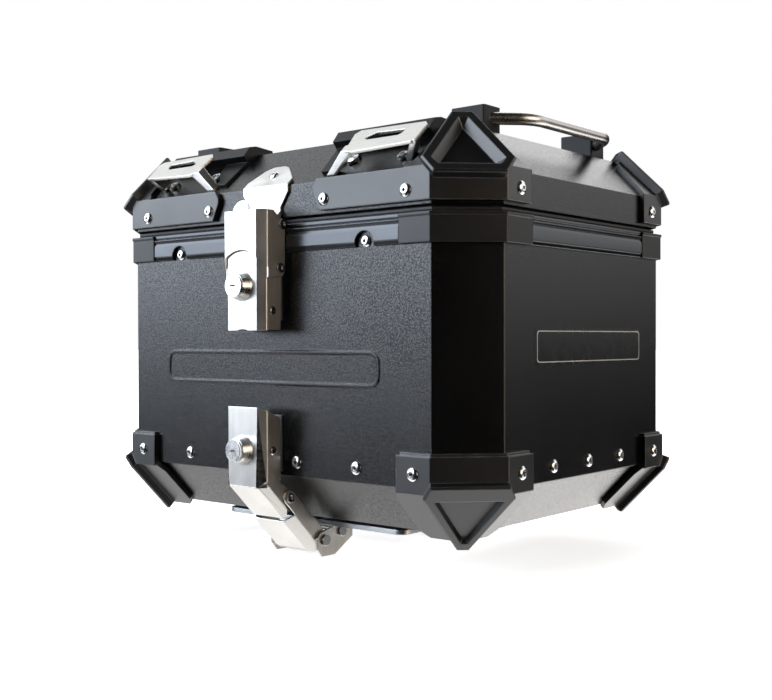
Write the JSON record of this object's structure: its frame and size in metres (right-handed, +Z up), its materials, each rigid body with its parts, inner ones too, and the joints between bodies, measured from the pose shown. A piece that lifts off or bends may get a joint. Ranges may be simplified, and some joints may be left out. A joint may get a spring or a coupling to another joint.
{
  "type": "motorcycle top case",
  "caption": "Hard aluminium top case with a hinged lid, toggle latches with lock barrels, moulded corner guards, lashing hooks, grab rods and an adapter plate.",
  "frame": {"origin": "middle of the base rectangle, on the level the adapter stands on", "axes": "+X to the right end seen from the latch side, -Y out of the latch side, +Z up"},
  "size_m": [0.419, 0.3549, 0.3498],
  "materials": {
    "coated_sheet": "black powder coat, fine leather texture",
    "rail": "dark anodised, satin",
    "guard": "satin moulded plastic",
    "cap": "fine moulded grain",
    "seal": "matt rubber",
    "rivet": "bare, smooth",
    "label": "gloss film",
    "keeper": "satin",
    "hinge": "black coated",
    "adapter": "satin",
    "stainless": "brushed stainless",
    "pin": "turned",
    "lock": "chromed",
    "frame": "moulded plastic"
  },
  "bodies": {
    "case": {"case_wall": "coated_sheet", "bottom_pan": "coated_sheet", "rim_rail_front": "rail", "rim_rail_rear": "rail", "rim_rail_left": "rail", "rim_rail_right": "rail", "rim_corner_fr": "cap", "rim_corner_fl": "cap", "rim_corner_rr": "cap", "rim_corner_rl": "cap", "rim_gasket": "seal", "rim_screws": "rivet", "lower_guard_fr": "guard", "lower_guard_fl": "guard", "lower_guard_rr": "guard", "lower_guard_rl": "guard", "wall_rivets": "rivet", "lower_guard_rivets": "rivet", "side_label": "label", "keeper_upper": "keeper", "keeper_lower": "keeper", "keeper_rivets": "rivet", "hinge_leaves_case": "hinge", "hinge_pins": "pin", "adapter_plate": "adapter", "adapter_pads": "seal", "adapter_ear": "stainless", "adapter_pins": "pin", "adapter_rear_bracket": "adapter", "adapter_bolts": "rivet"},
    "lid": {"lid_shell": "coated_sheet", "lid_frame": "frame", "lid_guard_fr": "guard", "lid_guard_fl": "guard", "lid_guard_rr": "guard", "lid_guard_rl": "guard", "lid_rivets": "rivet", "hinge_leaves_lid": "hinge", "strike_plate": "stainless", "hook_plates_front": "stainless", "hook_plates_rear": "stainless", "hook_bases_front": "guard", "hook_bases_rear": "guard", "grab_rod_right": "stainless", "grab_rod_left": "stainless", "grab_feet_right": "guard", "grab_feet_left": "guard"},
    "upper_link_body": {"upper_link": "stainless", "upper_link_pins": "pin"},
    "upper_lever_body": {"upper_lever": "stainless", "upper_lock_body": "lock"},
    "upper_plug_body": {"upper_lock_plug": "lock"},
    "lower_link_body": {"lower_link": "stainless", "lower_link_pin": "pin"},
    "lower_lever_body": {"lower_lever": "stainless", "lower_lock_body": "lock"},
    "lower_plug_body": {"lower_lock_plug": "lock"}
  },
  "joints": [
    {"name": "lid_hinge", "type": "hinge", "parent": "case", "child": "lid", "pos_m": [0, 0.17345, 0.2665], "axis": [-1, 0, 0], "range_deg": [0, 100]},
    {"name": "upper_link_hinge", "type": "hinge", "parent": "lid", "child": "upper_link_body", "pos_m": [0, -0.14795, 0.2635], "axis": [-1, 0, 0], "range_deg": [0, 40]},
    {"name": "upper_lever_hinge", "type": "hinge", "parent": "upper_link_body", "child": "upper_lever_body", "pos_m": [0, -0.15045, 0.2298], "axis": [-1, 0, 0], "range_deg": [0, 40]},
    {"name": "upper_lock_turn", "type": "hinge", "parent": "upper_lever_body", "child": "upper_plug_body", "pos_m": [0, -0.16045, 0.216], "axis": [0, -1, 0], "range_deg": [0, 90]},
    {"name": "lower_link_hinge", "type": "hinge", "parent": "case", "child": "lower_link_body", "pos_m": [0, -0.1031, 0.0135], "axis": [1, 0, 0], "range_deg": [0, 28]},
    {"name": "lower_lever_hinge", "type": "hinge", "parent": "lower_link_body", "child": "lower_lever_body", "pos_m": [0, -0.1401, 0.0513], "axis": [1, 0, 0], "range_deg": [0, 60]},
    {"name": "lower_lock_turn", "type": "hinge", "parent": "lower_lever_body", "child": "lower_plug_body", "pos_m": [0, -0.16045, 0.0892], "axis": [0, -1, 0], "range_deg": [0, 90]}
  ]
}
